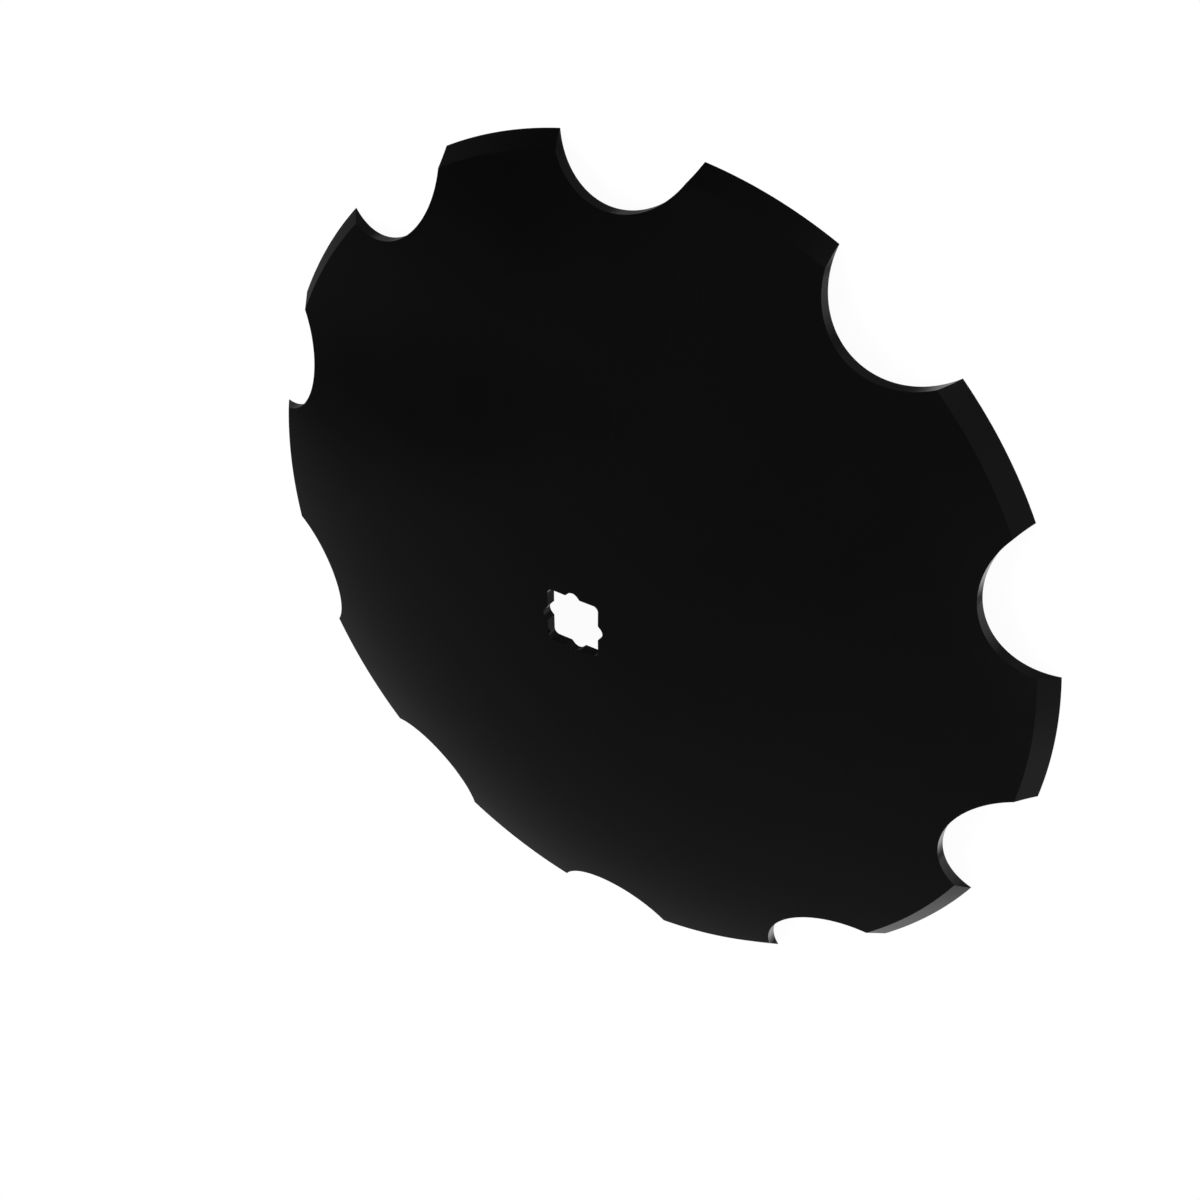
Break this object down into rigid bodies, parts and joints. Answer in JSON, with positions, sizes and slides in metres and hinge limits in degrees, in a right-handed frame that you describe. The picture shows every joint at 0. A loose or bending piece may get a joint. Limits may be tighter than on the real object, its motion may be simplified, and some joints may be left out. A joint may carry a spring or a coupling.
{
  "type": "harrow disc blade",
  "caption": "Dished round steel blade with round notches along its bevelled cutting edge and a square axle hole, for a disc harrow gang.",
  "frame": {"origin": "centre of the circle that the teeth's edges lie on, in the plane that the blade rests on", "axes": "+Z along the blade's axis, out of its rounded side; +X through the middle of one notch, square to a flat of the axle hole"},
  "size_m": [0.5012, 0.5078, 0.053],
  "materials": {
    "black_paint": "satin black over pressed steel"
  },
  "bodies": {
    "root": {"disc_blade": "black_paint"}
  },
  "joints": []
}
